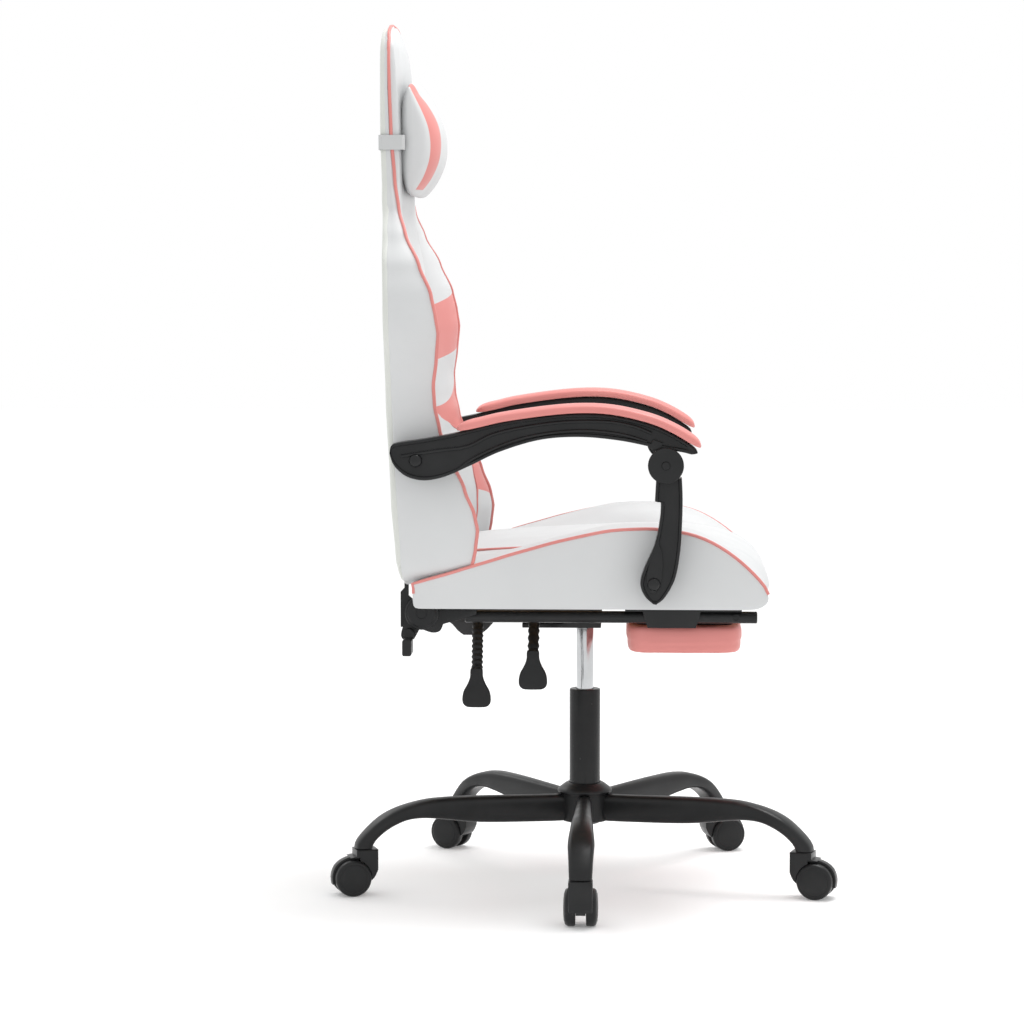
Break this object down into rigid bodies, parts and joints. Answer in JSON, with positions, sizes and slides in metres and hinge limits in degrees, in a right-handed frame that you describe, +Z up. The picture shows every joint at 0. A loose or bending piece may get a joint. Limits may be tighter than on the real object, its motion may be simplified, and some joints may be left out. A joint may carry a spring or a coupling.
{
  "type": "gaming chair",
  "caption": "Racing-style gaming chair with reclining back, linked armrests, headrest pillow, gas lift, rocking mechanism, slide-out footrest and a star base on swivel casters.",
  "frame": {"origin": "middle of the footprint box, on the floor", "axes": "+Z up; the chair faces -Y; the sitter's right hand is at -X"},
  "size_m": [0.6696, 0.7388, 1.2606],
  "materials": {
    "black_plastic": "satin moulded nylon with a fine texture",
    "black_rubber": "soft matt grip",
    "black_steel": "black powder coat",
    "grey_steel": "dark grey coated pressed steel",
    "chrome": "polished gas rod",
    "white_leather": "white synthetic leather with a fine grain",
    "pink_leather": "pink synthetic leather with a fine grain",
    "plywood": "bare plywood under the upholstery",
    "elastic": "woven white elastic"
  },
  "bodies": {
    "base": {"star_base": "black_plastic", "gas_column": "black_steel"},
    "lift": {"gas_piston": "chrome"},
    "swivel": {"tilt_socket": "black_steel", "tilt_axle": "grey_steel", "tilt_spring": "grey_steel"},
    "seat": {"mechanism_plate": "grey_steel", "seat_board": "plywood", "seat_cushion": "white_leather", "recliner_plate_left": "black_steel", "recliner_plate_right": "black_steel", "seat_bolt_left": "black_steel", "seat_bolt_right": "black_steel", "footrest_guide_left": "black_plastic", "footrest_guide_right": "black_plastic"},
    "height_lever": {"height_lever": "black_rubber"},
    "tilt_lever": {"tilt_lever": "black_rubber"},
    "recline_lever": {"recline_lever": "black_plastic"},
    "back": {"back_frame": "black_steel", "back_panel": "white_leather", "back_cushion": "white_leather", "headrest_pillow": "pink_leather", "headrest_strap": "elastic", "recliner_disc_left": "black_plastic", "recliner_disc_right": "black_plastic", "back_bolt_left": "black_steel", "back_bolt_right": "black_steel"},
    "arm_left": {"arm_left": "black_plastic", "arm_pad_left": "pink_leather"},
    "arm_right": {"arm_right": "black_plastic", "arm_pad_right": "pink_leather"},
    "link_left": {"arm_link_left": "black_plastic", "elbow_pin_left": "black_plastic"},
    "link_right": {"arm_link_right": "black_plastic", "elbow_pin_right": "black_plastic"},
    "footrest_rails": {"footrest_rail_left": "black_steel", "footrest_rail_right": "black_steel", "footrest_axle": "black_steel"},
    "footrest": {"footrest_plate": "grey_steel", "footrest_pad": "pink_leather"},
    "caster_1": {"caster_hood_1": "black_plastic", "caster_axle_1": "grey_steel"},
    "wheel_1a": {"caster_wheel_1a": "black_plastic"},
    "wheel_1b": {"caster_wheel_1b": "black_plastic"},
    "caster_2": {"caster_hood_2": "black_plastic", "caster_axle_2": "grey_steel"},
    "wheel_2a": {"caster_wheel_2a": "black_plastic"},
    "wheel_2b": {"caster_wheel_2b": "black_plastic"},
    "caster_3": {"caster_hood_3": "black_plastic", "caster_axle_3": "grey_steel"},
    "wheel_3a": {"caster_wheel_3a": "black_plastic"},
    "wheel_3b": {"caster_wheel_3b": "black_plastic"},
    "caster_4": {"caster_hood_4": "black_plastic", "caster_axle_4": "grey_steel"},
    "wheel_4a": {"caster_wheel_4a": "black_plastic"},
    "wheel_4b": {"caster_wheel_4b": "black_plastic"},
    "caster_5": {"caster_hood_5": "black_plastic", "caster_axle_5": "grey_steel"},
    "wheel_5a": {"caster_wheel_5a": "black_plastic"},
    "wheel_5b": {"caster_wheel_5b": "black_plastic"}
  },
  "joints": [
    {"name": "lift_slide", "type": "slide", "parent": "base", "child": "lift", "axis": [0, 0, 1], "range_m": [0, 0.1]},
    {"name": "seat_swivel", "type": "hinge", "parent": "lift", "child": "swivel", "pos_m": [0.019, 0, 0.4], "axis": [0, 0, 1], "continuous": true},
    {"name": "seat_rock", "type": "hinge", "parent": "swivel", "child": "seat", "pos_m": [0.019, -0.01, 0.409], "axis": [-1, 0, 0], "range_deg": [0, 10], "stiffness_Nm_per_rad": 110, "springref_deg": -34.38, "deforming": ["tilt_spring"]},
    {"name": "back_recline", "type": "hinge", "parent": "seat", "child": "back", "pos_m": [0.019, 0.227, 0.4265], "axis": [-1, 0, 0], "range_deg": [0, 45]},
    {"name": "arm_left_pivot", "type": "hinge", "parent": "back", "child": "arm_left", "pos_m": [0.287, 0.2316, 0.6457], "axis": [-1, 0, 0], "range_deg": [-45, 0]},
    {"name": "link_left_pivot", "type": "hinge", "parent": "seat", "child": "link_left", "pos_m": [0.287, -0.1005, 0.474], "axis": [-1, 0, 0], "range_deg": [0, 60]},
    {"name": "arm_right_pivot", "type": "hinge", "parent": "back", "child": "arm_right", "pos_m": [-0.249, 0.2316, 0.6457], "axis": [-1, 0, 0], "range_deg": [-45, 0]},
    {"name": "link_right_pivot", "type": "hinge", "parent": "seat", "child": "link_right", "pos_m": [-0.249, -0.1005, 0.474], "axis": [-1, 0, 0], "range_deg": [0, 60]},
    {"name": "height_lever_pivot", "type": "hinge", "parent": "seat", "child": "height_lever", "pos_m": [-0.0535, 0.072, 0.408], "axis": [0, 1, 0], "range_deg": [0, 8], "stiffness_Nm_per_rad": 2, "springref_deg": -8.59},
    {"name": "tilt_lever_pivot", "type": "hinge", "parent": "seat", "child": "tilt_lever", "pos_m": [-0.0535, 0.153, 0.408], "axis": [0, 1, 0], "range_deg": [0, 8], "stiffness_Nm_per_rad": 2, "springref_deg": -8.59},
    {"name": "recline_lever_pivot", "type": "hinge", "parent": "seat", "child": "recline_lever", "pos_m": [-0.2035, 0.246, 0.396], "axis": [1, 0, 0], "range_deg": [0, 20], "stiffness_Nm_per_rad": 1, "springref_deg": -8.59},
    {"name": "footrest_slide", "type": "slide", "parent": "seat", "child": "footrest_rails", "axis": [0, -1, 0], "range_m": [0, 0.284]},
    {"name": "footrest_flip", "type": "hinge", "parent": "footrest_rails", "child": "footrest", "pos_m": [0.019, -0.1836, 0.4192], "axis": [-1, 0, 0], "range_deg": [0, 180]},
    {"name": "caster_1_swivel", "type": "hinge", "parent": "base", "child": "caster_1", "pos_m": [-0.319, 0, 0.06], "axis": [0, 0, 1], "continuous": true},
    {"name": "wheel_1a_spin", "type": "hinge", "parent": "caster_1", "child": "wheel_1a", "pos_m": [-0.301, 0, 0.0265], "axis": [0, 1, 0], "continuous": true},
    {"name": "wheel_1b_spin", "type": "hinge", "parent": "caster_1", "child": "wheel_1b", "pos_m": [-0.301, 0, 0.0265], "axis": [0, 1, 0], "continuous": true},
    {"name": "caster_2_swivel", "type": "hinge", "parent": "base", "child": "caster_2", "pos_m": [-0.08545, -0.32146, 0.06], "axis": [0, 0, 1], "continuous": true},
    {"name": "wheel_2a_spin", "type": "hinge", "parent": "caster_2", "child": "wheel_2a", "pos_m": [-0.09041, -0.33876, 0.0265], "axis": [0.9613, -0.2756, 0], "continuous": true},
    {"name": "wheel_2b_spin", "type": "hinge", "parent": "caster_2", "child": "wheel_2b", "pos_m": [-0.09041, -0.33876, 0.0265], "axis": [0.9613, -0.2756, 0], "continuous": true},
    {"name": "caster_3_swivel", "type": "hinge", "parent": "base", "child": "caster_3", "pos_m": [0.29245, -0.19867, 0.06], "axis": [0, 0, 1], "continuous": true},
    {"name": "wheel_3a_spin", "type": "hinge", "parent": "caster_3", "child": "wheel_3a", "pos_m": [0.29801, -0.21579, 0.0265], "axis": [0.9511, 0.309, 0], "continuous": true},
    {"name": "wheel_3b_spin", "type": "hinge", "parent": "caster_3", "child": "wheel_3b", "pos_m": [0.29801, -0.21579, 0.0265], "axis": [0.9511, 0.309, 0], "continuous": true},
    {"name": "caster_4_swivel", "type": "hinge", "parent": "base", "child": "caster_4", "pos_m": [0.29245, 0.19867, 0.06], "axis": [0, 0, 1], "continuous": true},
    {"name": "wheel_4a_spin", "type": "hinge", "parent": "caster_4", "child": "wheel_4a", "pos_m": [0.30145, 0.21426, 0.0265], "axis": [-0.866, 0.5, 0], "continuous": true},
    {"name": "wheel_4b_spin", "type": "hinge", "parent": "caster_4", "child": "wheel_4b", "pos_m": [0.30145, 0.21426, 0.0265], "axis": [-0.866, 0.5, 0], "continuous": true},
    {"name": "caster_5_swivel", "type": "hinge", "parent": "base", "child": "caster_5", "pos_m": [-0.08545, 0.32146, 0.06], "axis": [0, 0, 1], "continuous": true},
    {"name": "wheel_5a_spin", "type": "hinge", "parent": "caster_5", "child": "wheel_5a", "pos_m": [-0.09101, 0.33858, 0.0265], "axis": [-0.9511, -0.309, 0], "continuous": true},
    {"name": "wheel_5b_spin", "type": "hinge", "parent": "caster_5", "child": "wheel_5b", "pos_m": [-0.09101, 0.33858, 0.0265], "axis": [-0.9511, -0.309, 0], "continuous": true}
  ],
  "couplings": [
    {"joint": "arm_left_pivot", "follows": "back_recline", "ratio": -0.993},
    {"joint": "link_left_pivot", "follows": "back_recline", "ratio": 1.3254},
    {"joint": "arm_right_pivot", "follows": "back_recline", "ratio": -0.993},
    {"joint": "link_right_pivot", "follows": "back_recline", "ratio": 1.3254},
    {"joint": "footrest_flip", "follows": "footrest_slide", "rad_per_m": 11.06}
  ]
}
